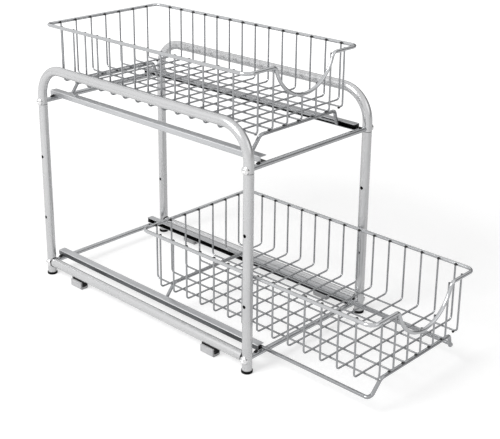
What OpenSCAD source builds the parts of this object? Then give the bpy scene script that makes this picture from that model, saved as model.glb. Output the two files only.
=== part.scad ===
// Two-tier pull-out cabinet basket: a tube frame that stands on the cabinet floor,
// with two wire baskets that slide towards the user in C-shaped rails.
// Millimetres. +Z is up, the front faces -Y, and +X is on the right seen from the front.
// The origin is on the floor, at the centre of the four legs.
// Shown with the upper basket closed and the lower one pulled out.

/* [Frame] */
// distance between the left and right leg centres
frame_w = 276; // [200:1:420]
// distance between the front and back leg centres
frame_d = 494; // [400:1:640]
// outside diameter of the frame tube
tube_d = 16; // [12:0.5:25]
// wall thickness of the frame tube
tube_wall = 1.2; // [0.8:0.1:2.5]
// height of the seam between a leg and its hoop
leg_top = 324; // [260:1:600]
// rise of the hoop's centre line above that seam
hoop_rise = 67; // [40:1:160]
// bend radius of the hoop's centre line
hoop_bend = 52; // [30:1:60]
// height of the lower cross bars and lower screws
lower_z = 22.6; // [18:0.1:60]
// height of the upper screws above the seam
screw_above_seam = 5.2; // [4:0.1:8]
// height of the side tube's centre
side_tube_z = 23.6; // [20:0.1:60]
// diameter of the cross bars
bar_d = 8.5; // [8:0.5:12]
// height of the centre of the two spare holes in each leg
spare_holes = [113, 228];
// diameter of the spare holes
spare_hole_d = 4.5; // [3:0.1:6]

/* [Leg joints and feet] */
// wall thickness of the sleeve inside a leg joint
sleeve_wall = 1.2; // [0.8:0.1:2]
// length of the sleeve below the seam
sleeve_below = 24; // [15:1:60]
// length of the sleeve above the seam
sleeve_above = 12; // [8:1:14]
// height of the visible foot cap
foot_h = 4.5; // [3:0.5:12]
// thickness of the cap's floor under the tube
foot_floor = 2; // [1:0.1:4]
// wall of the cap outside the tube
foot_wall = 1; // [0.6:0.1:3]
// length of the plug inside the tube
foot_plug = 8; // [4:0.5:14]

/* [Screws] */
// diameter of the domed screw head
head_d = 13; // [9:0.5:14]
// gap between a screw head and the end of a side tube
head_gap = 0.5; // [0.3:0.1:1]
// height of the head beyond the tube
head_h = 3.8; // [2:0.1:6]
// diameter of the screw's shank
shank_d = 5; // [4:0.5:6]
// length of the thread inside the cross bar
thread_l = 14; // [8:1:30]
// width of the hexagon socket across its corners
socket_w = 4.2; // [2:0.1:6]
// depth of the hexagon socket
socket_h = 1.8; // [1:0.1:3]

/* [Rails] */
// gap between a leg and the rail's web
rail_inset = 14.5; // [10:0.5:40]
// width of a rail from its web to its open side
rail_w = 13.5; // [11:0.5:25]
// height of a rail
rail_h = 9.8; // [9:0.1:20]
// thickness of the rail's sheet
rail_t = 1; // [0.6:0.1:1.5]
// outside corner radius of the rail
rail_round = 1.8; // [1.6:0.1:3]
// length of the rail in front of the front cross bar's centre
rail_front = 1; // [0:0.5:20]
// length of the rail behind the back cross bar's centre
rail_back = 8; // [0:0.5:20]

/* [Floor brackets] */
// distance from a leg's centre to the middle of its bracket
bracket_inset = 80.5; // [40:0.5:150]
// length of a bracket along the side tube
bracket_l = 28; // [16:1:60]
// height of a bracket
bracket_h = 13.5; // [10:0.5:14.5]
// thickness of a bracket's floor
bracket_floor = 5.5; // [3:0.5:7]
// width of the pad in the bracket
pad_w = 9.6; // [8:0.1:12]
// how far the pad shows in front of the bracket
pad_over = 2; // [0:0.5:8]
// diameter of the floor screw's hole
floor_hole_d = 4.5; // [3:0.1:6]
// diameter of the driver's hole in the pad
driver_hole_d = 7; // [6:0.1:7.5]

/* [Baskets] */
// diameter of the rim and runner wire
rim_wire = 5.8; // [4:0.1:8]
// diameter of the thin basket wires
mesh_wire = 3; // [2:0.1:4]
// gap between the rim and a leg on each side
side_gap = 0.7; // [0.5:0.1:10]
// distance of the front rim's centre behind the front leg centres
front_inset = 16.6; // [12:0.1:60]
// distance of the back rim's centre in front of the back leg centres
back_inset = 4.9; // [3:0.1:60]
// corner radius of the rim's centre line
rim_corner = 13; // [8:1:40]
// depth from the rim's centre to the cross wires' centre
basket_h = 92.6; // [70:0.1:160]
// number of wires that run across the basket
cross_count = 14; // [6:1:24]
// distance of the first cross wire in front of the back rim
cross_back = 39.3; // [15:0.1:60]
// distance of the last cross wire behind the front rim
cross_front = 30.6; // [15:0.1:60]
// number of wires that run along the basket, an odd number
long_count = 7; // [3:2:9]
// spacing of the wires that run along the basket
long_pitch = 32.74; // [20:0.01:40]
// bend radius of the thin wires' centre line
mesh_bend = 6; // [4:0.5:15]
// height of a thin wire's end above the rim's centre
wire_end = 1.5; // [0:0.1:2.5]

/* [Front scoop] */
// radius of the scoop in the front rim
scoop_r = 67; // [40:1:80]
// depth of the scoop below the rim
scoop_depth = 52.5; // [20:0.5:60]
// radius where the scoop joins the straight rim
scoop_fillet = 8.5; // [5:0.5:15]

/* [Runners] */
// distance of the runner wire's centre inside the rail's web
runner_in = 9; // [8:0.1:9]
// rise from the runner's sides to its front and back bars
runner_rise = 25.75; // [20:0.25:60]
// half the width of the runner's front and back bars
runner_bar = 86; // [60:1:90]
// distance of the runner's front bar behind the front rim
runner_front = 9.9; // [8:0.1:60]
// distance of the runner's back bar in front of the back rim
runner_back = 31.6; // [20:0.1:80]
// how far the sides go back beyond the bar, at the top of the rail
runner_lean = 5; // [2:0.5:8]
// bend radius of the runner's centre line
runner_bend = 4.6; // [4:0.1:5]
// bend radius at the ends of the runner's bars
bar_bend = 8; // [5:0.5:12]

/* [Travel] */
// how far the lower basket is pulled out as shown
shown_out = 238; // [0:1:300]

/* [Fits] */
// gap between the runner wire and the rail's lower flange
run_gap = 0.3; // [0.2:0.05:0.8]
// gap between the runner wire and the rail's lips
lip_gap = 0.6; // [0.4:0.05:1.5]
// gap where one piece is set into or against another
fit_gap = 0.1; // [0.05:0.05:0.3]

/* [Hidden] */
$fn = 48;
eps = 0.01;
knot_over = 0.1;
knot_gap = 0.1;
tube_r = tube_d / 2;
bore_r = tube_r - tube_wall;
leg_x = frame_w / 2;
leg_y = frame_d / 2;
side = [-1, 1];
upper_z = leg_top + screw_above_seam;
hoop_z = leg_top + hoop_rise;
bar_r = bar_d / 2;
hole_r = shank_d / 2 + 2 * fit_gap;
tap_r = shank_d / 2 + fit_gap;
rail_x = leg_x - tube_r - rail_inset;
lip_x = rail_x - rail_w;
rim_r = rim_wire / 2;
mesh_r = mesh_wire / 2;
rim_x = leg_x - tube_r - side_gap - rim_r;
rim_front = -leg_y + front_inset;
rim_back = leg_y - back_inset;
wire_x = rim_x - rim_r - mesh_r;
wire_front = rim_front + rim_r + mesh_r;
wire_back = rim_back - rim_r - mesh_r;
cross_pitch = (rim_back - rim_front - cross_back - cross_front) / (cross_count - 1);
// heights above the cross bar that carries the rails
run_z = bar_r + rail_t + run_gap + rim_r;
bar_z = run_z + runner_rise;
long_z = bar_z + rim_r + mesh_r;
cross_z = long_z + mesh_wire;
rim_z = cross_z + basket_h;
// the scoop: its centre above the rim, and where its end fillets are centred
scoop_up = scoop_r - scoop_depth;
fillet_x = to_hundredth(sqrt(pow(scoop_r + scoop_fillet, 2) - pow(scoop_up + scoop_fillet, 2)));
scoop_half = atan2(fillet_x, scoop_up + scoop_fillet);
bracket_y = leg_y - bracket_inset;
// colours
silver = [0.80, 0.81, 0.82];
wire_grey = [0.66, 0.67, 0.68];
rail_grey = [0.62, 0.63, 0.64];
pale = [0.88, 0.88, 0.88];
black = [0.06, 0.06, 0.06];

// ---- wire and tube bending ----

function unit(v) = v / norm(v);
function to_hundredth(v) = round(v * 100) / 100;
// direction of the leg that leaves point i
function dir(p, i) = unit(p[i + 1] - p[i]);
// turn of the path at point i, in degrees
function turn(p, i) = acos(min(1, max(-1, dir(p, i - 1) * dir(p, i))));
// how much of each leg the bend at point i takes
function reach(p, b, i) = i == 0 || i == len(p) - 1 ? 0 : b[i - 1] * tan(turn(p, i) / 2);
// rotate() angles that carry the X, Y and Z axes onto the unit vectors x, y and z
function axes_turn(x, y, z) =
    abs(x[2]) > 1 - 1e-9
    ? [atan2(-x[2] * y[0], y[1]), -90 * sign(x[2]), 0]
    : [atan2(y[2], z[2]), -asin(x[2]), atan2(x[1], x[0])];

// a straight round length from a to b
module straight(a, b, r) {
    d = b - a;
    translate(a)
        rotate([0, acos(d[2] / norm(d)), atan2(d[1], d[0])])
            cylinder(h = norm(d), r = r);
}

// an arc of wire round Z, from the angle a to the angle c, short by the length g at both ends
module arc(radius, a, c, r, g) {
    rotate([0, 0, a + g / radius * 180 / PI])
        rotate_extrude(angle = c - a - 2 * g / radius * 180 / PI) translate([radius, 0]) circle(r);
}

// the bend at point i of the path p, short by the length g at both ends
module bend(p, b, i, r, g) {
    d = dir(p, i - 1);
    n = unit(cross(d, dir(p, i)));
    out = cross(d, n);
    start = p[i] - d * reach(p, b, i);
    translate(start - out * b[i - 1])
        rotate(axes_turn(out, d, n)) arc(b[i - 1], 0, turn(p, i), r, g);
}

// a round wire through the points p, with square bends of the radii b at its inner points
module wire(p, b, r) {
    for (i = [0 : len(p) - 2])
        straight(p[i] + dir(p, i) * reach(p, b, i), p[i + 1] - dir(p, i) * reach(p, b, i + 1), r);
    for (i = [1 : len(p) - 2])
        bend(p, b, i, r, 0);
}

// a ball that joins two ends of wire that lie along d and whose angles are not square
module knot(at, d, r) {
    translate(at) rotate([0, acos(d[2]), atan2(d[1], d[0])]) sphere(r = r + knot_over);
}

// a wire like wire(), for bends at any angle: its lengths stop short of each other inside knots
module free_wire(p, b, r) {
    last = len(p) - 1;
    for (i = [0 : last - 1])
        straight(p[i] + dir(p, i) * (reach(p, b, i) + (i == 0 ? 0 : knot_gap)),
            p[i + 1] - dir(p, i) * (reach(p, b, i + 1) + (i + 1 == last ? 0 : knot_gap)), r);
    for (i = [1 : last - 1]) {
        bend(p, b, i, r, knot_gap);
        knot(p[i] - dir(p, i - 1) * reach(p, b, i), dir(p, i - 1), r);
        knot(p[i] + dir(p, i) * reach(p, b, i), dir(p, i), r);
    }
}

// ---- frame ----

// one inverted U of tube, cut square at the leg seams
module hoop(sx) {
    low = leg_top;
    path = [
        [sx * leg_x, -leg_y, low], [sx * leg_x, -leg_y, hoop_z],
        [sx * leg_x, leg_y, hoop_z], [sx * leg_x, leg_y, low]
    ];
    bore = [
        path[0] - [0, 0, 1], path[1], path[2], path[3] - [0, 0, 1]
    ];
    color(silver) difference() {
        wire(path, [hoop_bend, hoop_bend], tube_r);
        wire(bore, [hoop_bend, hoop_bend], bore_r);
        for (sy = side) across_hole(sx, sy, upper_z, hole_r);
    }
}

// a hole through a leg along X
module across_hole(sx, sy, z, r) {
    translate([sx * leg_x - tube_r - 1, sy * leg_y, z])
        rotate([0, 90, 0]) cylinder(h = tube_d + 2, r = r);
}

module leg(sx, sy) {
    color(silver) difference() {
        translate([sx * leg_x, sy * leg_y, foot_floor]) cylinder(h = leg_top - foot_floor, r = tube_r);
        translate([sx * leg_x, sy * leg_y, foot_floor - 1])
            cylinder(h = leg_top - foot_floor + 2, r = bore_r);
        across_hole(sx, sy, lower_z, hole_r);
        for (z = spare_holes) across_hole(sx, sy, z, spare_hole_d / 2);
    }
}

// floor-level tube between the front and back legs, its ends shaped round the legs and
// cut back flat so that they clear the lower screw heads
module side_tube(sx) {
    half = leg_y - head_d / 2 - head_gap;
    color(silver) difference() {
        straight([sx * leg_x, -half, side_tube_z], [sx * leg_x, half, side_tube_z], tube_r);
        straight([sx * leg_x, -half - 1, side_tube_z], [sx * leg_x, half + 1, side_tube_z], bore_r);
        for (sy = side)
            translate([sx * leg_x, sy * leg_y, side_tube_z - tube_d])
                cylinder(h = 2 * tube_d, r = tube_r + fit_gap);
    }
}

// sleeves that join each leg to its hoop, inside the tube
module leg_sleeves() {
    outer = bore_r - fit_gap;
    color(rail_grey)
        for (sx = side, sy = side)
            difference() {
                translate([sx * leg_x, sy * leg_y, leg_top - sleeve_below])
                    cylinder(h = sleeve_below + sleeve_above, r = outer);
                translate([sx * leg_x, sy * leg_y, leg_top - sleeve_below - 1])
                    cylinder(h = sleeve_below + sleeve_above + 2, r = outer - sleeve_wall);
                across_hole(sx, sy, upper_z, hole_r);
            }
}

// cap with a rim outside the tube and a hollow plug inside it
module foot(sx, sy) {
    rim = tube_r + fit_gap + foot_wall;
    plug = bore_r - fit_gap;
    soft = foot_wall * 0.6;
    color(black) translate([sx * leg_x, sy * leg_y, 0])
        rotate_extrude() {
            polygon([
                [0, 0], [rim - soft, 0], [rim, soft], [rim, foot_h - soft], [rim - soft, foot_h],
                [tube_r + fit_gap, foot_h], [tube_r + fit_gap, foot_floor],
                [plug, foot_floor], [plug, foot_floor + foot_plug - 1], [plug - 1, foot_floor + foot_plug],
                [plug - 2, foot_floor + foot_plug], [plug - 2, foot_floor], [0, foot_floor]
            ]);
        }
}

// round bar from leg to leg, tapped at both ends for the screws
module cross_bar(sy, z) {
    color(silver) difference() {
        straight([-leg_x, sy * leg_y, z], [leg_x, sy * leg_y, z], bar_r);
        for (sx = side) {
            translate([sx * leg_x, sy * leg_y, z - bar_d])
                cylinder(h = 2 * bar_d, r = tube_r + fit_gap);
            straight([sx * (leg_x - tube_r - thread_l - 1), sy * leg_y, z], [sx * leg_x, sy * leg_y, z], tap_r);
        }
    }
}

// domed screw through a leg into the end of a cross bar, its head hollowed to sit on the tube
module screw(sx, sy, z) {
    skirt = 0.6;
    crown = tube_r + head_h;
    dome_h = head_h - skirt;
    dome_r = (pow(head_d / 2, 2) + pow(dome_h, 2)) / (2 * dome_h);
    tip = -tube_r - thread_l;
    mirror([sx < 0 ? 1 : 0, 0, 0]) translate([leg_x, sy * leg_y, z]) {
        difference() {
            rotate([0, 90, 0]) rotate_extrude() intersection() {
                translate([0, crown - dome_r]) circle(dome_r, $fn = 96);
                translate([0, crown - 2 * head_h]) square([head_d / 2, 2 * head_h + 1]);
            }
            translate([0, 0, -head_d]) cylinder(h = 2 * head_d, r = tube_r + fit_gap);
            translate([crown - socket_h, 0, 0])
                rotate([0, 90, 0]) cylinder(h = socket_h + 1, d = socket_w, $fn = 6);
        }
        straight([tip, 0, 0], [tube_r + 1, 0, 0], shank_d / 2);
    }
}

module screws(z) {
    color(pale) for (sx = side, sy = side) screw(sx, sy, z);
}

// the rail's section: a C with rounded outer corners, its web at x = 0 and its open side at x = -rail_w
module rail_section() {
    inner = rail_round - rail_t;
    difference() {
        rounded_end(rail_w, rail_h, rail_round);
        translate([-rail_t, 0])
            rounded_end(rail_w, rail_h - 2 * rail_t, inner);
    }
}

// a w by h block from x = -w to x = 0, centred on y = 0, with its two corners at x = 0 rounded
module rounded_end(w, h, r) {
    translate([-w, -h / 2]) square([w - r, h]);
    translate([-r - eps, -h / 2 + r]) square([r + eps, h - 2 * r]);
    for (s = side) translate([-r, s * (h / 2 - r)]) circle(r);
}

// rail on top of two cross bars, open towards the middle
module rail(sx, z) {
    color(rail_grey) mirror([sx < 0 ? 1 : 0, 0, 0])
        translate([rail_x, leg_y + rail_back, z + bar_r + rail_h / 2])
            rotate([90, 0, 0]) linear_extrude(frame_d + rail_front + rail_back) rail_section();
}

// saddle block screwed to the cabinet floor, with a slot for the pad
module bracket(sx, sy) {
    r = 3;
    color(pale) translate([sx * leg_x, sy * bracket_y, 0])
        difference() {
            rotate([90, 0, 0]) translate([0, 0, -bracket_l / 2]) linear_extrude(bracket_l) difference() {
                union() {
                    translate([-tube_r, r]) square([tube_d, bracket_h - r]);
                    translate([-tube_r + r, 0]) square([tube_d - 2 * r, r + eps]);
                    for (s = side) translate([s * (tube_r - r), r]) circle(r);
                }
                translate([-pad_w / 2 - fit_gap, bracket_floor])
                    square([pad_w + 2 * fit_gap, bracket_h]);
            }
            translate([0, 0, -1]) cylinder(h = bracket_h, r = floor_hole_d / 2);
        }
}

// pad in the bracket's slot that the side tube lies in, with a driver hole to the floor screw
module pad(sx, sy) {
    color(black) translate([sx * leg_x, sy * bracket_y, 0])
        difference() {
            translate([-pad_w / 2, -bracket_l / 2 - pad_over, bracket_floor])
                cube([pad_w, bracket_l + pad_over, side_tube_z - bracket_floor]);
            translate([0, -bracket_l, side_tube_z])
                rotate([-90, 0, 0]) cylinder(h = 2 * bracket_l, r = tube_r + fit_gap);
            cylinder(h = side_tube_z, r = driver_hole_d / 2);
        }
}

// ---- baskets, drawn closed at the height of the cross bar that carries them ----

// closed top loop with the scoop in its front
module rim(z) {
    f = rim_front;
    color(wire_grey) translate([0, 0, z + rim_z]) {
        wire([
            [fillet_x + knot_gap, f, 0], [rim_x, f, 0], [rim_x, rim_back, 0],
            [-rim_x, rim_back, 0], [-rim_x, f, 0], [-fillet_x - knot_gap, f, 0]
        ], [for (i = [1 : 4]) rim_corner], rim_r);
        translate([0, f, scoop_up]) rotate([90, 0, 0])
            arc(scoop_r, -90 - scoop_half, -90 + scoop_half, rim_r, knot_gap);
        for (s = side) {
            mirror([s < 0 ? 1 : 0, 0, 0])
                translate([fillet_x, f, -scoop_fillet]) rotate([90, 0, 0])
                    rotate([0, 0, 90]) arc(scoop_fillet, 0, scoop_half, rim_r, knot_gap);
            knot([s * fillet_x, f, 0], [1, 0, 0], rim_r);
            knot([s * scoop_r * sin(scoop_half), f, scoop_up - scoop_r * cos(scoop_half)],
                [s * cos(scoop_half), 0, sin(scoop_half)], rim_r);
        }
    }
}

// height of the front rim's centre at x, below the straight rim
function scoop_z(x) =
    let (a = abs(x), knee = scoop_r * sin(scoop_half))
    a >= fillet_x ? 0
    : a >= knee ? sqrt(pow(scoop_fillet, 2) - pow(fillet_x - a, 2)) - scoop_fillet
    : scoop_up - sqrt(pow(scoop_r, 2) - pow(a, 2));

// the wires that run across the floor and up both sides
module cross_wires(z) {
    top = z + rim_z + wire_end;
    low = z + cross_z;
    color(wire_grey)
        for (i = [0 : cross_count - 1]) {
            y = rim_back - cross_back - i * cross_pitch;
            wire([[-wire_x, y, top], [-wire_x, y, low], [wire_x, y, low], [wire_x, y, top]],
                [mesh_bend, mesh_bend], mesh_r);
        }
}

// the wires that run along the floor and up the front and back
module long_wires(z) {
    low = z + long_z;
    color(wire_grey)
        for (i = [0 : long_count - 1]) {
            x = (i - (long_count - 1) / 2) * long_pitch;
            front = to_hundredth(z + rim_z + wire_end + scoop_z(x));
            back = z + rim_z + wire_end;
            wire([[x, wire_front, front], [x, wire_front, low], [x, wire_back, low], [x, wire_back, back]],
                [mesh_bend, mesh_bend], mesh_r);
        }
}

// closed loop under the basket: two bars that carry the floor, and two sides that run in the rails
module runner(z) {
    side_x = rail_x - runner_in;
    step_x = lip_x - lip_gap - rim_r;
    front = rim_front + runner_front;
    back = rim_back - runner_back;
    low = z + run_z;
    step = low + 1.5;
    high = z + bar_z;
    b = runner_bend;
    half = [
        [side_x, back + runner_lean + 2, low], [step_x, back + runner_lean, step], [runner_bar, back, high]
    ];
    front_half = [
        [side_x, front + runner_lean + 2, low], [step_x, front + runner_lean, step], [runner_bar, front, high]
    ];
    color(wire_grey)
        for (sx = side)
            mirror([sx < 0 ? 1 : 0, 0, 0])
                free_wire(concat([[0, back, high]], [half[2], half[1], half[0]], front_half, [[0, front, high]]),
                    [bar_bend, b, b, b, b, bar_bend], rim_r);
}

// ---- nodes ----

module left_hoop() { hoop(-1); }
module right_hoop() { hoop(1); }
module front_left_leg() { leg(-1, -1); }
module front_right_leg() { leg(1, -1); }
module back_left_leg() { leg(-1, 1); }
module back_right_leg() { leg(1, 1); }
module left_side_tube() { side_tube(-1); }
module right_side_tube() { side_tube(1); }
module front_left_foot() { foot(-1, -1); }
module front_right_foot() { foot(1, -1); }
module back_left_foot() { foot(-1, 1); }
module back_right_foot() { foot(1, 1); }
module upper_front_bar() { cross_bar(-1, upper_z); }
module upper_back_bar() { cross_bar(1, upper_z); }
module lower_front_bar() { cross_bar(-1, lower_z); }
module lower_back_bar() { cross_bar(1, lower_z); }
module upper_screws() { screws(upper_z); }
module lower_screws() { screws(lower_z); }
module upper_left_rail() { rail(-1, upper_z); }
module upper_right_rail() { rail(1, upper_z); }
module lower_left_rail() { rail(-1, lower_z); }
module lower_right_rail() { rail(1, lower_z); }
module front_left_bracket() { bracket(-1, -1); }
module front_right_bracket() { bracket(1, -1); }
module back_left_bracket() { bracket(-1, 1); }
module back_right_bracket() { bracket(1, 1); }
module front_left_pad() { pad(-1, -1); }
module front_right_pad() { pad(1, -1); }
module back_left_pad() { pad(-1, 1); }
module back_right_pad() { pad(1, 1); }
module upper_rim() { rim(upper_z); }
module upper_cross_wires() { cross_wires(upper_z); }
module upper_long_wires() { long_wires(upper_z); }
module upper_runner() { runner(upper_z); }
module pulled_out() { translate([0, -shown_out, 0]) children(); }
module lower_rim() { pulled_out() rim(lower_z); }
module lower_cross_wires() { pulled_out() cross_wires(lower_z); }
module lower_long_wires() { pulled_out() long_wires(lower_z); }
module lower_runner() { pulled_out() runner(lower_z); }

left_hoop();
right_hoop();
front_left_leg();
front_right_leg();
back_left_leg();
back_right_leg();
left_side_tube();
right_side_tube();
leg_sleeves();
front_left_foot();
front_right_foot();
back_left_foot();
back_right_foot();
upper_front_bar();
upper_back_bar();
lower_front_bar();
lower_back_bar();
upper_screws();
lower_screws();
upper_left_rail();
upper_right_rail();
lower_left_rail();
lower_right_rail();
front_left_bracket();
front_right_bracket();
back_left_bracket();
back_right_bracket();
front_left_pad();
front_right_pad();
back_left_pad();
back_right_pad();
upper_rim();
upper_cross_wires();
upper_long_wires();
upper_runner();
lower_rim();
lower_cross_wires();
lower_long_wires();
lower_runner();
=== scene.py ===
"""Looks of a two-tier pull-out cabinet basket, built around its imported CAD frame.

The sections follow the object as it is put together: tube frame, cross bars, feet, screws,
rails, floor brackets, then the two sliding baskets, and last the floor, the lamps and the camera.
Lengths are in metres in the frame of the CAD: +Z up, the front towards -Y.
"""

import bpy
import numpy as np
from mathutils import Matrix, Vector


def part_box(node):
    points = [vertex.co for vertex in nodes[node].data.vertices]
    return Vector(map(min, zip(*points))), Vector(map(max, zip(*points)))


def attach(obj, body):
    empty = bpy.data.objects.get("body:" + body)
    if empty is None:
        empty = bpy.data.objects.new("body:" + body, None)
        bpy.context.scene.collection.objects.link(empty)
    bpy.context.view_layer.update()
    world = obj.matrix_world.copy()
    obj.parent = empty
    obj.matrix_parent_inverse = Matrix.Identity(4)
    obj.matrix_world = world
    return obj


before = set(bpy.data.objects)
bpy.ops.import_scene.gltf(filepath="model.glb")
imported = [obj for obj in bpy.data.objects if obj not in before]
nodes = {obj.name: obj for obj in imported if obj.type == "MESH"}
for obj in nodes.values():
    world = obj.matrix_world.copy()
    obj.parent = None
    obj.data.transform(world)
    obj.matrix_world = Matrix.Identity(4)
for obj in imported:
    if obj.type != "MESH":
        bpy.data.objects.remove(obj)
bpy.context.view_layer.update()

# ---------------------------------------------------------------------------------------------
# Frame tube: two hoops, four legs and two floor-level side tubes.
# Bent and welded steel, powder-coated in satin silver: a pale grey with a fine aluminium flake,
# a broad soft highlight and a faint orange peel.
MM = 0.001
FRAME_TUBES = (
    "left_hoop", "right_hoop",
    "front_left_leg", "front_right_leg", "back_left_leg", "back_right_leg",
    "left_side_tube", "right_side_tube",
)
TUBE_R = 8 * MM
LEG_X, LEG_Y = 138 * MM, 247 * MM
LEG_SEAM_Z = 324 * MM
SPARE_HOLES_Z = (113 * MM, 228 * MM)
HOLE_EDGE_R = 2.9 * MM
SEAM_HALF = 0.4 * MM
COAT_DEPTH = 0.7 * MM
TUBE_METALLIC = 0.7
FLAKE_SHARE = CLOUD_SHARE = 0.35
ROUGHNESS_SWING, ROUGHNESS_LOW = 0.14, 0.02


def linear(hex_colour):
    """A colour from sRGB hex to linear RGBA, by the sRGB curve."""
    c = np.array([int(hex_colour[i:i + 2], 16) for i in (1, 3, 5)]) / 255
    c = np.where(c <= 0.04045, c / 12.92, ((c + 0.055) / 1.055) ** 2.4)
    return (*c.tolist(), 1.0)


def add(tree, kind, sockets=None, **settings):
    """Adds one node, sets its properties, and sets or links its sockets. A node that is given
    as a socket's value is linked from its first live output."""
    node = tree.nodes.new("ShaderNode" + kind)
    for name, value in settings.items():
        setattr(node, name, value)
    for name, value in (sockets or {}).items():
        if isinstance(value, bpy.types.Node):
            value = next(out for out in value.outputs if out.enabled)
        if isinstance(value, bpy.types.NodeSocket):
            tree.links.new(value, node.inputs[name])
        else:
            node.inputs[name].default_value = value
    return node


def new_material(name):
    """An empty node material, its tree, and the Object coordinates that its patterns read."""
    material = bpy.data.materials.new(name)
    material.use_nodes = True
    tree = material.node_tree
    tree.nodes.clear()
    return material, tree, add(tree, "TexCoord").outputs["Object"]


def silver_coat(tree, place, pale, deep, roughness, peel):
    """What the shader needs for satin silver powder coat: colour = pale to deep by 0.35 * flake
    + 0.35 * cloud, with flake and cloud from 0 to 1, roughness a little higher where the cloud is
    deep, and orange peel as deep as peel. The flake is drawn 1.5 mm across (0.05 mm in truth), the
    cloud 45 mm, the peel 2.5 mm."""
    flake = add(tree, "TexNoise", {"Vector": place, "Scale": 1 / (1.5 * MM), "Detail": 1.0})
    flake = add(tree, "MapRange", {"Value": flake, "From Min": 0.3, "From Max": 0.7})
    cloud = add(tree, "TexNoise", {"Vector": place, "Scale": 1 / (45 * MM)})
    cloud = add(tree, "MapRange", {"Value": cloud, "From Min": 0.3, "From Max": 0.7,
                                   "To Max": CLOUD_SHARE})
    mixed = add(tree, "Math", {0: flake, 1: FLAKE_SHARE, 2: cloud}, operation="MULTIPLY_ADD")
    rough = add(tree, "Math", {0: cloud, 1: ROUGHNESS_SWING, 2: roughness - ROUGHNESS_LOW},
                operation="MULTIPLY_ADD")
    ripple = add(tree, "TexNoise", {"Vector": place, "Scale": 1 / (2.5 * MM)})
    return {
        "Base Color": add(tree, "Mix", {0: mixed, 6: linear(pale), 7: linear(deep)},
                          data_type="RGBA"),
        "Roughness": rough,
        "Normal": add(tree, "Bump", {"Height": ripple, "Distance": peel}),
    }


tube_coat, tree, place = new_material("silver_powder_coat")
coat = silver_coat(tree, place, "#D3D3D4", "#C6C7C8", 0.26, 0.006 * MM)
# the joint of leg and hoop shows as a fine dark line at the top of each leg
height = add(tree, "SeparateXYZ", {0: place}).outputs["Z"]
seam = add(tree, "Math", {0: height, 1: LEG_SEAM_Z, 2: SEAM_HALF}, operation="COMPARE")
coat["Base Color"] = add(tree, "Mix", {0: seam, 6: coat["Base Color"], 7: linear("#4A4B4D")},
                         data_type="RGBA")
# painted shade: the bore of a leg, below the seam, is painted near black from COAT_DEPTH in from
# the outside
mirrored = add(tree, "VectorMath", {0: place}, operation="ABSOLUTE")
from_leg = add(tree, "VectorMath", {0: mirrored, 1: (LEG_X, LEG_Y, 0)}, operation="SUBTRACT")
from_leg = add(tree, "VectorMath", {0: from_leg, 1: (1, 1, 0)}, operation="MULTIPLY")
from_leg = add(tree, "VectorMath", {0: from_leg}, operation="LENGTH")
inside = add(tree, "Math", {0: from_leg, 1: TUBE_R - COAT_DEPTH}, operation="LESS_THAN")
in_leg = add(tree, "Math", {0: height, 1: LEG_SEAM_Z}, operation="LESS_THAN")
hollow_shade = add(tree, "Math", {0: inside, 1: in_leg}, operation="MULTIPLY")
# painted shade: round each spare hole the tube is painted near black too
for hole_z in SPARE_HOLES_Z:
    off = add(tree, "VectorMath", {0: mirrored, 1: (0, LEG_Y, hole_z)}, operation="SUBTRACT")
    off = add(tree, "VectorMath", {0: off, 1: (0, 1, 1)}, operation="MULTIPLY")
    off = add(tree, "VectorMath", {0: off}, operation="LENGTH")
    edge = add(tree, "Math", {0: off, 1: HOLE_EDGE_R}, operation="LESS_THAN")
    hollow_shade = add(tree, "Math", {0: hollow_shade, 1: edge}, operation="MAXIMUM")
# the near black of the bore and the spare holes is painted shade
coat["Base Color"] = add(tree, "Mix", {0: hollow_shade, 6: coat["Base Color"], 7: linear("#0B0B0B")},
                         data_type="RGBA")
shader = add(tree, "BsdfPrincipled", {**coat, "Metallic": TUBE_METALLIC})
add(tree, "OutputMaterial", {"Surface": shader})


def dress(names, material):
    """Gives CAD nodes a material in place of their plain one."""
    for name in names:
        if not nodes[name].material_slots:
            nodes[name].data.materials.append(None)
        for slot in nodes[name].material_slots:
            slot.material = material


dress(FRAME_TUBES, tube_coat)

# ---------------------------------------------------------------------------------------------
# Sleeves: short steel tubes inside the tops of the legs, which carry the hoops and are hidden.
# Bare drawn tube: bright steel with lines along its length, drawn coarser than they are.
sleeve_steel, tree, place = new_material("drawn_steel")
lines = add(tree, "Mapping", {"Vector": place, "Scale": (1, 1, 1 / 60)})
lines = add(tree, "TexNoise", {"Vector": lines, "Scale": 1 / (0.6 * MM), "Detail": 4.0})
colour = add(tree, "Mix", {0: lines, 6: linear("#8F9193"), 7: linear("#B9BBBD")},
             data_type="RGBA")
bump = add(tree, "Bump", {"Height": lines, "Distance": 0.02 * MM})
shader = add(tree, "BsdfPrincipled", {"Base Color": colour, "Normal": bump, "Metallic": 1.0,
                                      "Roughness": 0.3})
add(tree, "OutputMaterial", {"Surface": shader})
dress(("leg_sleeves",), sleeve_steel)

# ---------------------------------------------------------------------------------------------
# Welds of the frame: a bead round each end of a side tube where it meets its leg, and a lump at
# each end of a rail on its cross bar. Rough, and painted near black as shade in the joints.
SIDES = (-1, 1)
WELD_R = 1.4 * MM
WELD_STEPS = 96
SIDE_TUBE_Z = 23.6 * MM
BAR_Z = {"lower": 22.6 * MM, "upper": 329.2 * MM}
RAIL_X = 115.5 * MM
FLAT_CUT = 7.2 * MM
WELD_SIDES, WELD_RIPPLES = 10, 24
THIN_FROM, THIN_STEEP, THIN_SHARE = 0.45, 8, 0.45
RAIL_BEADS = ((1.6 * MM, 5.2 * MM), (3.8 * MM, 4.3 * MM))
RAIL_BEAD_RADII = (2.3 * MM, 2.9 * MM, 1.8 * MM)

# the welds and the caps on the basket wire tops are painted near black: painted shade
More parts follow.
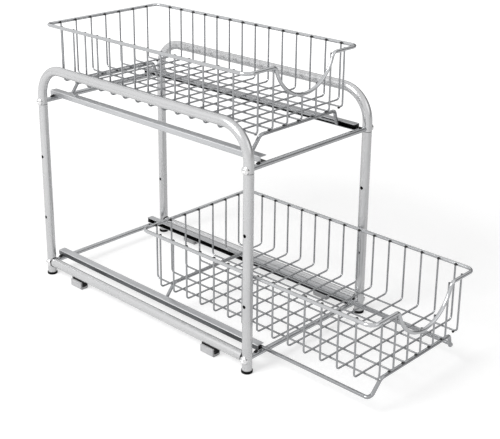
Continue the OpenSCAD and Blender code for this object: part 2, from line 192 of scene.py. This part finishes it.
weld_and_shade_black, tree, place = new_material("weld_with_painted_shade")
tint = add(tree, "TexNoise", {"Vector": place, "Scale": 1 / (1.5 * MM), "Detail": 3.0})
tint = add(tree, "MapRange", {"Value": tint, "From Min": 0.35, "From Max": 0.65})
colour = add(tree, "Mix", {0: tint, 6: linear("#0A0A0A"), 7: linear("#1E1E1E")},
             data_type="RGBA")
spatter = add(tree, "TexNoise", {"Vector": place, "Scale": 1 / (0.8 * MM)})
bump = add(tree, "Bump", {"Height": spatter, "Distance": 0.08 * MM})
shader = add(tree, "BsdfPrincipled", {"Base Color": colour, "Normal": bump, "Metallic": 0.2,
                                      "Roughness": 0.55})
add(tree, "OutputMaterial", {"Surface": shader})


def new_piece(name, points, faces, material, body, smooth=True):
    """A mesh object at the origin, riding on a body, with its material in its one slot."""
    mesh = bpy.data.meshes.new(name)
    mesh.from_pydata(points.reshape(-1, 3).tolist(), [], faces)
    mesh.polygons.foreach_set("use_smooth", np.full(len(mesh.polygons), smooth))
    mesh.materials.append(material)
    mesh.update()
    piece = bpy.data.objects.new(name, mesh)
    bpy.context.scene.collection.objects.link(piece)
    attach(piece, body)
    return piece


def ring_faces(rows, columns):
    """Quads of a tube that is closed both ways, rows along it and columns round it."""
    r, c = np.meshgrid(np.arange(rows), np.arange(columns), indexing="ij")
    r2, c2 = (r + 1) % rows, (c + 1) % columns
    return np.stack([r * columns + c, r * columns + c2, r2 * columns + c2, r2 * columns + c],
                    -1).reshape(-1, 4)


def beads(centres, radii, round_steps=10, rings=5):
    """Closed lumps: centre + radii * (sin v cos u, sin v sin u, cos v) * (1 + 0.1 sin(3u + i)),
    with u round, v from pole to pole and i the number of the lump. Returns points and faces."""
    centres = np.atleast_2d(centres)
    radii = np.broadcast_to(radii, centres.shape)
    v = np.linspace(0, np.pi, rings + 2)[1:-1]
    u = np.arange(round_steps) * 2 * np.pi / round_steps
    vv, uu = np.meshgrid(v, u, indexing="ij")
    ball = np.stack([np.sin(vv) * np.cos(uu), np.sin(vv) * np.sin(uu), np.cos(vv)], -1)
    swell = 1 + 0.1 * np.sin(3 * uu[None] + np.arange(len(centres))[:, None, None])
    body = ball[None] * swell[..., None]
    poles = np.broadcast_to([[0, 0, 1.0], [0, 0, -1.0]], (len(centres), 2, 3))
    shape = np.concatenate([body.reshape(len(centres), -1, 3), poles], 1)
    points = centres[:, None] + shape * radii[:, None]
    r, c = np.meshgrid(np.arange(rings - 1), np.arange(round_steps), indexing="ij")
    c2 = (c + 1) % round_steps
    quads = np.stack([r * round_steps + c, (r + 1) * round_steps + c,
                      (r + 1) * round_steps + c2, r * round_steps + c2], -1).reshape(-1, 4)
    k = np.arange(round_steps)
    top, low = rings * round_steps, (rings - 1) * round_steps
    caps = np.concatenate([
        np.stack([np.full_like(k, top), k, (k + 1) % round_steps], -1),
        np.stack([np.full_like(k, top + 1), low + (k + 1) % round_steps, low + k], -1)])
    step = (np.arange(len(centres)) * (top + 2))[:, None, None]
    faces = (quads[None] + step).reshape(-1, 4).tolist()
    faces += (caps[None] + step).reshape(-1, 3).tolist()
    return points.reshape(-1, 3), faces


for sx, side in zip(SIDES, ("left", "right")):
    for sy, end in zip(SIDES, ("front", "back")):
        # the bead follows the tube's end: round the tube by t, and back along it by the curve
        # of the leg, but never nearer the leg's centre than the flat cut of the tube's end
        t = np.arange(WELD_STEPS) * 2 * np.pi / WELD_STEPS
        across, up = np.cos(t) * TUBE_R, np.sin(t) * TUBE_R
        back = np.maximum(np.sqrt(np.maximum(TUBE_R ** 2 - across ** 2, 0)), FLAT_CUT)
        path = np.stack([sx * LEG_X + across, sy * (LEG_Y - back), SIDE_TUBE_Z + up], -1)
        along = np.roll(path, -1, 0) - np.roll(path, 1, 0)
        along /= np.linalg.norm(along, axis=1, keepdims=True)
        out = np.stack([np.cos(t), 0 * t, np.sin(t)], -1)
        third = np.cross(along, out)
        # thinner by THIN_SHARE on the outside, where the screw head sits, by a tanh step, and
        # rippled as laid: radius * (1 + 0.1 sin(24 t))
        under_head = 0.5 + 0.5 * np.tanh((sx * np.cos(t) - THIN_FROM) * THIN_STEEP)
        thick = WELD_R * (1 - THIN_SHARE * under_head) * (1 + 0.1 * np.sin(t * WELD_RIPPLES))
        a = np.arange(WELD_SIDES) * 2 * np.pi / WELD_SIDES
        points = path[:, None] + thick[:, None, None] * (
            np.cos(a)[None, :, None] * out[:, None] + np.sin(a)[None, :, None] * third[:, None])
        new_piece(f"{end}_{side}_tube_weld_shade", points,
                  ring_faces(WELD_STEPS, WELD_SIDES).tolist(), weld_and_shade_black, "frame")

for tier, bar_z in BAR_Z.items():
    spots = [(sx * (RAIL_X + dx), sy * LEG_Y, bar_z + dz)
             for sx in SIDES for sy in SIDES for dx, dz in RAIL_BEADS]
    points, faces = beads(np.array(spots), RAIL_BEAD_RADII, 16, 9)
    new_piece(f"{tier}_rail_weld_shade", points, faces, weld_and_shade_black, "frame")

# ---------------------------------------------------------------------------------------------
# Cross bars: solid round steel from leg to leg, zinc-plated. Darker and glossier than the coated
# tube, with faint lines along the bar, drawn coarser than they are.
bar_zinc, tree, place = new_material("zinc_plated_bar")
lines = add(tree, "Mapping", {"Vector": place, "Scale": (1 / 70, 1, 1)})
lines = add(tree, "TexNoise", {"Vector": lines, "Scale": 1 / (0.5 * MM), "Detail": 4.0})
lines = add(tree, "MapRange", {"Value": lines, "From Min": 0.3, "From Max": 0.7})
colour = add(tree, "Mix", {0: lines, 6: linear("#C4C5C7"), 7: linear("#A4A6A8")},
             data_type="RGBA")
bump = add(tree, "Bump", {"Height": lines, "Distance": 0.01 * MM})
shader = add(tree, "BsdfPrincipled", {"Base Color": colour, "Normal": bump, "Metallic": 0.9,
                                      "Roughness": 0.22})
add(tree, "OutputMaterial", {"Surface": shader})
dress([f"{tier}_{end}_bar" for tier in BAR_Z for end in ("front", "back")], bar_zinc)

# ---------------------------------------------------------------------------------------------
# Foot caps: moulded black polyethylene pushed onto the legs. Matt with a grain, drawn coarser
# than it is, and rubbed a little paler round the lower edge.
foot_plastic, tree, place = new_material("black_polyethylene")
height = add(tree, "SeparateXYZ", {0: place}).outputs["Z"]
rubbed = add(tree, "MapRange", {"Value": height, "From Max": 1.6 * MM, "To Min": 0.55,
                                "To Max": 0.0})
scuffs = add(tree, "TexNoise", {"Vector": place, "Scale": 1 / (1.5 * MM), "Detail": 4.0})
rubbed = add(tree, "Math", {0: rubbed, 1: scuffs}, operation="MULTIPLY")
colour = add(tree, "Mix", {0: rubbed, 6: linear("#050505"), 7: linear("#161617")},
             data_type="RGBA")
grain = add(tree, "TexNoise", {"Vector": place, "Scale": 1 / (0.5 * MM)})
bump = add(tree, "Bump", {"Height": grain, "Distance": 0.03 * MM})
shader = add(tree, "BsdfPrincipled", {"Base Color": colour, "Normal": bump, "Roughness": 0.6,
                                      "IOR": 1.51, "Specular IOR Level": 0.15})
add(tree, "OutputMaterial", {"Surface": shader})
dress([f"{end}_{side}_foot" for end in ("front", "back") for side in ("left", "right")],
      foot_plastic)

# ---------------------------------------------------------------------------------------------
# Screws: domed socket heads in bright nickel plate. Nearly a mirror, with faint rings from
# turning about the screw's axis, drawn coarser than they are.
TIER_SPLIT_Z = 150 * MM
RING_PITCH = 0.5 * MM


def above_bar(tree, height):
    """The height less that of the cross bars of its tier, which changes at TIER_SPLIT_Z."""
    upper = add(tree, "Math", {0: height, 1: TIER_SPLIT_Z}, operation="GREATER_THAN")
    bar_z = add(tree, "Math", {0: upper, 1: BAR_Z["upper"] - BAR_Z["lower"], 2: BAR_Z["lower"]},
                operation="MULTIPLY_ADD")
    return add(tree, "Math", {0: height, 1: bar_z}, operation="SUBTRACT")


screw_nickel, tree, place = new_material("nickel_plate")
mirrored = add(tree, "VectorMath", {0: place}, operation="ABSOLUTE")
axes = add(tree, "SeparateXYZ", {0: mirrored})
from_y = add(tree, "Math", {0: axes.outputs["Y"], 1: LEG_Y}, operation="SUBTRACT")
from_z = above_bar(tree, axes.outputs["Z"])
from_axis = add(tree, "CombineXYZ", {"Y": from_y, "Z": from_z})
from_axis = add(tree, "VectorMath", {0: from_axis}, operation="LENGTH")
turned = add(tree, "Math", {0: from_axis, 1: 2 * np.pi / RING_PITCH}, operation="MULTIPLY")
turned = add(tree, "Math", {0: turned}, operation="SINE")
shade = add(tree, "MapRange", {"Value": turned, "From Min": -1.0, "From Max": 1.0})
colour = add(tree, "Mix", {0: shade, 6: linear("#D9D9DA"), 7: linear("#EFEFEF")},
             data_type="RGBA")
bump = add(tree, "Bump", {"Height": turned, "Distance": 0.004 * MM})
shader = add(tree, "BsdfPrincipled", {"Base Color": colour, "Normal": bump, "Metallic": 1.0,
                                      "Roughness": 0.18})
add(tree, "OutputMaterial", {"Surface": shader})
dress(("upper_screws", "lower_screws"), screw_nickel)

# ---------------------------------------------------------------------------------------------
# Rails: steel strip rolled to a C section, nickel-plated. Satin, with rolling lines along it,
# drawn coarser than they are; a painted highlight on the outer bend and painted shade inside the
# channel.
WEB_INSIDE_X, WEB_OUTSIDE_X = 114.6 * MM, 115.1 * MM
CHANNEL_MIDDLE, CHANNEL_HALF = 9.15 * MM, 3.95 * MM
BEND_LOW = 12.9 * MM
STRIP_METALLIC = 0.75
ROLLED_SWING, ROLLED_ROUGHNESS = 0.13, 0.27

rail_steel, tree, place = new_material("rolled_steel_strip")
lines = add(tree, "Mapping", {"Vector": place, "Scale": (1, 1 / 80, 1)})
lines = add(tree, "TexNoise", {"Vector": lines, "Scale": 1 / (0.7 * MM), "Detail": 4.0})
lines = add(tree, "MapRange", {"Value": lines, "From Min": 0.3, "From Max": 0.7})
cloud = add(tree, "Mapping", {"Vector": place, "Scale": (1, 1 / 4, 1)})
cloud = add(tree, "TexNoise", {"Vector": cloud, "Scale": 1 / (30 * MM)})
cloud = add(tree, "MapRange", {"Value": cloud, "From Min": 0.3, "From Max": 0.7})
streaks = add(tree, "Math", {0: lines, 1: cloud}, operation="MULTIPLY")
steel = add(tree, "Mix", {0: streaks, 6: linear("#CDCED0"), 7: linear("#AEB0B2")},
            data_type="RGBA")
mirrored = add(tree, "VectorMath", {0: place}, operation="ABSOLUTE")
axes = add(tree, "SeparateXYZ", {0: mirrored})
over_bar = above_bar(tree, axes.outputs["Z"])
# painted shade: the outer face of the lower rails is painted dark, up to the bend
outer = add(tree, "Math", {0: axes.outputs["X"], 1: WEB_OUTSIDE_X}, operation="GREATER_THAN")
lower = add(tree, "Math", {0: axes.outputs["Z"], 1: BAR_Z["lower"] + BEND_LOW},
            operation="LESS_THAN")
lower_web_shade = add(tree, "Math", {0: outer, 1: lower}, operation="MULTIPLY")
steel = add(tree, "Mix", {0: lower_web_shade, 6: steel, 7: linear("#737577")}, data_type="RGBA")
# painted highlight: the outer bend of every rail is painted near white
bend_highlight = add(tree, "Math", {0: over_bar, 1: BEND_LOW}, operation="GREATER_THAN")
bend_highlight = add(tree, "Math", {0: bend_highlight, 1: outer}, operation="MULTIPLY")
steel = add(tree, "Mix", {0: bend_highlight, 6: steel, 7: linear("#F4F4F5")}, data_type="RGBA")
# painted shade: inside the channel the strip is painted near black and not metallic
within = add(tree, "Math", {0: axes.outputs["X"], 1: WEB_INSIDE_X}, operation="LESS_THAN")
channel_shade = add(tree, "Math", {0: over_bar, 1: CHANNEL_MIDDLE, 2: CHANNEL_HALF}, operation="COMPARE")
channel_shade = add(tree, "Math", {0: channel_shade, 1: within}, operation="MULTIPLY")
shader = add(tree, "BsdfPrincipled", {
    "Base Color": add(tree, "Mix", {0: channel_shade, 6: steel, 7: linear("#0A0A0B")}, data_type="RGBA"),
    "Metallic": add(tree, "Math", {0: channel_shade, 1: -STRIP_METALLIC, 2: STRIP_METALLIC},
                    operation="MULTIPLY_ADD"),
    "Roughness": add(tree, "Math", {0: lines, 1: ROLLED_SWING, 2: ROLLED_ROUGHNESS},
                     operation="MULTIPLY_ADD"),
    "Normal": add(tree, "Bump", {"Height": lines, "Distance": 0.015 * MM})})
add(tree, "OutputMaterial", {"Surface": shader})
dress([f"{tier}_{side}_rail" for tier in BAR_Z for side in ("left", "right")], rail_steel)

# ---------------------------------------------------------------------------------------------
# Rail plugs: a moulded black plug closes the back end of each rail's channel, flush with the
# sheet. The photograph shows it in the lower right rail. The solids have none.
PLUG_X, PLUG_Z = 108.4 * MM, 9.15 * MM
PLUG_HALF = np.array([6.0, 3.8]) * MM
PLUG_FRONT, PLUG_BACK = 247.5 * MM, 254.8 * MM
PLUG_BEVEL = 0.4 * MM
PLUG_STEPS = 40

# its section is a rounded rectangle, |x/a|^8 + |z/b|^8 = 1, drawn smaller at both bevelled ends
t = np.arange(PLUG_STEPS) * 2 * np.pi / PLUG_STEPS
section = np.stack([np.cos(t), np.sin(t)], -1)
section = np.sign(section) * abs(section) ** (2 / 8)
depth = np.array([PLUG_FRONT, PLUG_FRONT + PLUG_BEVEL, PLUG_BACK - PLUG_BEVEL, PLUG_BACK])
inset = np.array([PLUG_BEVEL, 0, 0, PLUG_BEVEL])
rings = section[None] * (PLUG_HALF - inset[:, None])[:, None]
plug = np.stack([rings[..., 0], np.broadcast_to(depth[:, None], rings.shape[:2]),
                 rings[..., 1]], -1)
r, c = np.meshgrid(np.arange(len(depth) - 1), np.arange(PLUG_STEPS), indexing="ij")
c2 = (c + 1) % PLUG_STEPS
plug_faces = np.stack([r * PLUG_STEPS + c, (r + 1) * PLUG_STEPS + c,
                       (r + 1) * PLUG_STEPS + c2, r * PLUG_STEPS + c2], -1).reshape(-1, 4).tolist()
plug_faces += [list(range(PLUG_STEPS)), list(range(plug[..., 0].size))[:-PLUG_STEPS - 1:-1]]
for tier, bar_z in BAR_Z.items():
    for sx, side in zip(SIDES, ("left", "right")):
        new_piece(f"{tier}_{side}_rail_plug", plug + (sx * PLUG_X, 0, bar_z + PLUG_Z), plug_faces,
                  foot_plastic, "frame", smooth=False)

# ---------------------------------------------------------------------------------------------
# Floor brackets: pale grey ABS saddles with a black rubber pad each, under the side tubes.
# The plastic is smooth off the mould, the rubber dull and slightly pebbled.
bracket_plastic, tree, place = new_material("pale_abs")
mottle = add(tree, "TexNoise", {"Vector": place, "Scale": 1 / (9 * MM)})
mottle = add(tree, "MapRange", {"Value": mottle, "From Min": 0.3, "From Max": 0.7})
colour = add(tree, "Mix", {0: mottle, 6: linear("#D0D0D1"), 7: linear("#C2C2C4")},
             data_type="RGBA")
skin = add(tree, "TexNoise", {"Vector": place, "Scale": 1 / (0.9 * MM)})
bump = add(tree, "Bump", {"Height": skin, "Distance": 0.015 * MM})
shader = add(tree, "BsdfPrincipled", {"Base Color": colour, "Normal": bump, "Roughness": 0.38,
                                      "IOR": 1.53})
add(tree, "OutputMaterial", {"Surface": shader})
dress([f"{end}_{side}_bracket" for end in ("front", "back") for side in ("left", "right")],
      bracket_plastic)

pad_rubber, tree, place = new_material("black_rubber")
grit = add(tree, "TexNoise", {"Vector": place, "Scale": 1 / (1.1 * MM), "Detail": 3.0})
grit = add(tree, "MapRange", {"Value": grit, "From Min": 0.35, "From Max": 0.65})
colour = add(tree, "Mix", {0: grit, 6: linear("#070707"), 7: linear("#121212")},
             data_type="RGBA")
bump = add(tree, "Bump", {"Height": grit, "Distance": 0.06 * MM})
shader = add(tree, "BsdfPrincipled", {"Base Color": colour, "Normal": bump, "Roughness": 0.75,
                                      "IOR": 1.52, "Specular IOR Level": 0.3})
add(tree, "OutputMaterial", {"Surface": shader})
dress([f"{end}_{side}_pad" for end in ("front", "back") for side in ("left", "right")],
      pad_rubber)

# ---------------------------------------------------------------------------------------------
# Baskets: 5.8 mm steel wire for the rim and the runner, 3 mm wire for the mesh, spot-welded at
# every crossing and coated silver like the frame; the mesh and runner coat is painted darker, as
# shade.
MESH_R = 1.5 * MM
RUN_GAP = 5 * MM
WIRE_METALLIC = 0.85
WIRE_PEEL = 0.003 * MM
END_DOWN, END_RADII = (0.6 * MM, 1.0 * MM), (2.4 * MM, 2.5 * MM, 1.9 * MM)
BACK_END_OVER, BACK_END_DOWN = 1.8 * MM, 1.2 * MM
RIM_WELD_OUT, RIM_WELD_DOWN = 1.5 * MM, 1.0 * MM
RIM_WELD_RADII = np.array([[1.4, 2.0, 1.7], [2.0, 1.4, 1.7]]) * MM
FLOOR_WELD_RADII = (1.7 * MM, 1.7 * MM, 0.8 * MM)
RUNNER_WELD_OVER, RUNNER_WELD_DOWN = 2.2 * MM, 0.3 * MM
RUNNER_WELD_RADII = (2.3 * MM, 2.2 * MM, 1.5 * MM)
BAR_HALF_X, BAR_TOP_BAND = 60 * MM, 0.6 * MM
SAME_WIRE = 2 * MM
BASKET_COATS = {
    ("rim",): ("silver_coated_rim", "#C8C9CB", "#B5B7B9", 0.16),
    # the mesh and the runner: the rim's coat painted darker, as shade on thin wire
    ("cross_wires", "long_wires", "runner"): ("silver_coat_painted_darker", "#A9AAAC", "#949698", 0.18),
}
basket_coats = {}
for parts, (name, pale, deep, roughness) in BASKET_COATS.items():
    basket_coats[name], tree, place = new_material(name)
    coat = silver_coat(tree, place, pale, deep, roughness, WIRE_PEEL)
    shader = add(tree, "BsdfPrincipled", {**coat, "Metallic": WIRE_METALLIC})
    add(tree, "OutputMaterial", {"Surface": shader})
    dress([f"{tier}_{part}" for tier in BAR_Z for part in parts], basket_coats[name])


def points_of(name):
    """The vertices of a CAD node, one row each."""
    vertices = nodes[name].data.vertices
    flat = np.empty(len(vertices) * 3)
    vertices.foreach_get("co", flat)
    return flat.reshape(-1, 3)


def middles(values):
    """The middle of each run of values, where a run ends at a gap of over RUN_GAP."""
    values = np.sort(values)
    runs = np.split(values, np.nonzero(np.diff(values) > RUN_GAP)[0] + 1)
    return np.array([(run[0] + run[-1]) / 2 for run in runs])


for tier in BAR_Z:
    across, along = points_of(f"{tier}_cross_wires"), points_of(f"{tier}_long_wires")
    ys, xs = middles(across[:, 1]), middles(along[:, 0])
    low, high = across.min(0), across.max(0)
    along_low, along_high = along.min(0), along.max(0)
    cross_x = high[0] - MESH_R
    front_y, back_y = along_low[1] + MESH_R, along_high[1] - MESH_R
    in_front = along[along[:, 1] < front_y + SAME_WIRE]
    tops = np.array([in_front[abs(in_front[:, 0] - x) < SAME_WIRE, 2].max() for x in xs])
    # tops of the thin wires, and which way the rim lies from each
    ends = [(sx * cross_x, y, high[2], sx, 0) for sx in SIDES for y in ys]
    ends += [(x, back_y, along_high[2], 0, 1) for x in xs]
    ends += [(x, front_y, z, 0, -1) for x, z in zip(xs, tops)]
    ends = np.array(ends)
    # painted shade: a near-black cap on each wire top, where it meets the rim; the real ends are
    # coated
    caps = np.r_[ends[ends[:, 4] == 0, :3] - [0, *END_DOWN],
                 ends[ends[:, 4] == 1, :3] - [BACK_END_OVER, 0.0, BACK_END_DOWN]]
    points, faces = beads(caps, END_RADII, 12, 5)
    new_piece(f"{tier}_wire_end_shade", points, faces, weld_and_shade_black, f"{tier}_basket")
    # the weld between each top and the rim sits low beside the wire; its near black is painted
    # shade
    welds = ends[:, :3] + np.c_[ends[:, 3:] * RIM_WELD_OUT, np.full(len(ends), -RIM_WELD_DOWN)]
    reach = np.where(ends[:, 3:4] != 0, *RIM_WELD_RADII)
    points, faces = beads(welds, reach, 10, 5)
    new_piece(f"{tier}_rim_weld_shade", points, faces, weld_and_shade_black, f"{tier}_basket")
    # spot welds where the two layers of the floor cross, flattened and coated like the wire
    grid = np.stack(np.meshgrid(xs, ys, indexing="ij"), -1).reshape(-1, 2)
    points, faces = beads(np.c_[grid, np.full(len(grid), low[2])], FLOOR_WELD_RADII, 8, 3)
    new_piece(f"{tier}_floor_welds", points, faces, basket_coats["silver_coat_painted_darker"],
              f"{tier}_basket")
    # welds of the long wires on the two bars of the runner; their near black is painted shade
    run_low, run_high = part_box(f"{tier}_runner")
    bar_top = run_high.z
    runner = points_of(f"{tier}_runner")
    on_bar = runner[(abs(runner[:, 0]) < BAR_HALF_X) & (runner[:, 2] > bar_top - BAR_TOP_BAND), 1]
    middle = (run_low.y + run_high.y) / 2
    bars = [on_bar[on_bar < middle].mean(), on_bar[on_bar > middle].mean()]
    spots = [(x + s * RUNNER_WELD_OVER, y, bar_top - RUNNER_WELD_DOWN)
             for x in xs for y in bars for s in SIDES if abs(x + s * RUNNER_WELD_OVER) < xs.max()]
    points, faces = beads(np.array(spots), RUNNER_WELD_RADII, 10, 5)
    new_piece(f"{tier}_runner_weld_shade", points, faces, weld_and_shade_black, f"{tier}_basket")

# ---------------------------------------------------------------------------------------------
# Floor: a plain white sweep that runs out to the backdrop. Cameras and mirrors see it near
# white with the object's own soft shadow; to everything else it is plain white paint. Its glow
# rises from FLOOR_GLOW to full over the distances in GLOW_RISES.
FLOOR_HALF = 12.0
FLOOR_GLOW = 0.57
MIRRORED_GLOW = 0.52
GLOW_RISES = (0.6, 2.0)
FLOOR_BRIGHT_SIDE, FLOOR_TURN, FLOOR_DIM = (-1, 0.1, 0), (-0.3, 0.5), 0.7

floor_white, tree, place = new_material("white_floor")


def seen_in_metal(tree):
    """1 for the rays that a mirror or a glass sees along, 0 for the rest."""
    rays = add(tree, "LightPath").outputs
    return add(tree, "Math", {0: rays["Is Glossy Ray"], 1: rays["Is Transmission Ray"]},
               operation="MAXIMUM")


def glare(tree, coordinate, bright_side, low, high, dim):
    """1 towards the bright side of the room and dim away from it, by a dot product."""
    towards = add(tree, "TexCoord").outputs[coordinate]
    facing = add(tree, "VectorMath", {0: towards, 1: bright_side}, operation="DOT_PRODUCT")
    return add(tree, "MapRange", {"Value": facing, "From Min": low, "From Max": high,
                                  "To Min": dim, "To Max": 1.0})


paint = add(tree, "BsdfDiffuse", {"Color": linear("#CBCBCB")})
away = add(tree, "VectorMath", {0: place}, operation="LENGTH")
sweep = add(tree, "MapRange", {"Value": away, "From Min": GLOW_RISES[0],
                               "From Max": GLOW_RISES[1], "To Min": FLOOR_GLOW, "To Max": 1.0})
direct = add(tree, "LightPath").outputs["Is Camera Ray"]
direct = add(tree, "Math", {0: direct, 1: sweep}, operation="MULTIPLY")
mirrored = glare(tree, "Object", FLOOR_BRIGHT_SIDE, *FLOOR_TURN, FLOOR_DIM)
mirrored = add(tree, "Math", {0: mirrored, 1: MIRRORED_GLOW}, operation="MULTIPLY")
mirrored = add(tree, "Math", {0: seen_in_metal(tree), 1: mirrored}, operation="MULTIPLY")
shine = add(tree, "Math", {0: mirrored, 1: direct}, operation="MAXIMUM")
glow = add(tree, "Emission", {"Color": (1, 1, 1, 1), "Strength": shine})
both = add(tree, "AddShader", {0: paint, 1: glow})
add(tree, "OutputMaterial", {"Surface": both})
corners = np.array([(-1, -1, 0), (1, -1, 0), (1, 1, 0), (-1, 1, 0)]) * FLOOR_HALF
mesh = bpy.data.meshes.new("floor")
mesh.from_pydata(corners.tolist(), [], [(0, 1, 2, 3)])
mesh.materials.append(floor_white)
floor = bpy.data.objects.new("floor", mesh)
bpy.context.scene.collection.objects.link(floor)

# ---------------------------------------------------------------------------------------------
# Backdrop: a white room, seen directly as plain white. It lights the object from its bright
# left more than from its dim right, which gives the metal its darker edges.
ROOM_LIGHT = 0.42
BRIGHT_SIDE, ROOM_TURN, ROOM_DIM = (-0.75, 0.1, 1.1), (-0.2, 0.2), 0.2
world = bpy.data.worlds.new("white_room")
bpy.context.scene.world = world
world.use_nodes = True
tree = world.node_tree
tree.nodes.clear()
# metal sees the room at its full level, everything else is lit by a part of it
level = add(tree, "MapRange", {"Value": seen_in_metal(tree), "To Min": ROOM_LIGHT, "To Max": 1.0})
room_light = glare(tree, "Generated", BRIGHT_SIDE, *ROOM_TURN, ROOM_DIM)
room_light = add(tree, "Math", {0: room_light, 1: level}, operation="MULTIPLY")
direct = add(tree, "LightPath").outputs["Is Camera Ray"]
strength = add(tree, "Mix", {0: direct, 2: room_light, 3: 1.0})
room = add(tree, "Background", {"Color": (1, 1, 1, 1), "Strength": strength})
add(tree, "OutputWorld", {"Surface": room})

# ---------------------------------------------------------------------------------------------
# Lamps: one large soft box high on the left of the camera, and a weak one low on its right.
AIM = np.array([0.0, -0.1, 0.22])
LAMPS = (("key_softbox", (-3.1, 0.45, 3.0), 2.1, 122.0),
         ("fill_softbox", (1.0, -3.7, 1.8), 2.7, 14.0))


def looking(position, forward, right=None):
    """A placed lamp or camera: its -Z along forward, its X level unless right is given."""
    forward = forward / np.linalg.norm(forward)
    if right is None:
        right = np.cross(forward, (0, 0, 1.0))
        right /= np.linalg.norm(right)
    columns = np.stack([right, np.cross(right, forward), -forward], 1)
    place = np.eye(4)
    place[:3, :3], place[:3, 3] = columns, position
    return Matrix(place.tolist())


for name, position, size, power in LAMPS:
    lamp = bpy.data.lights.new(name, "AREA")
    lamp.shape, lamp.size, lamp.energy = "DISK", size, power
    placed = bpy.data.objects.new(name, lamp)
    placed.matrix_world = looking(position, AIM - np.array(position))
    bpy.context.scene.collection.objects.link(placed)

# ---------------------------------------------------------------------------------------------
# Camera: the photograph's place and lens, fitted to the object's own corners. The picture is
# 500 by 439, and its optical centre lies above its middle, so the lens is shifted.
FOCAL_PX = 1048.5
PICTURE_W = 500
SENSOR_MM = 36
CAMERA_AT = (-1.1617, -1.2128, 0.8423)
YAW_PITCH_ROLL_DEG = (45.598, -18.992, 0.192)
LENS_SHIFT = (0.039, -0.138)
yaw, pitch, roll = np.radians(YAW_PITCH_ROLL_DEG)
forward = np.array([np.sin(yaw) * np.cos(pitch), np.cos(yaw) * np.cos(pitch), np.sin(pitch)])
level = np.array([np.cos(yaw), -np.sin(yaw), 0.0])
right = np.cos(roll) * level + np.sin(roll) * np.cross(level, forward)
lens = bpy.data.cameras.new("camera")
lens.sensor_width = SENSOR_MM
lens.lens = FOCAL_PX / PICTURE_W * lens.sensor_width
lens.shift_x, lens.shift_y = LENS_SHIFT
camera = bpy.data.objects.new("camera", lens)
camera.matrix_world = looking(CAMERA_AT, forward, right)
bpy.context.scene.collection.objects.link(camera)
bpy.context.scene.camera = camera
bpy.context.scene.view_settings.view_transform = "Standard"
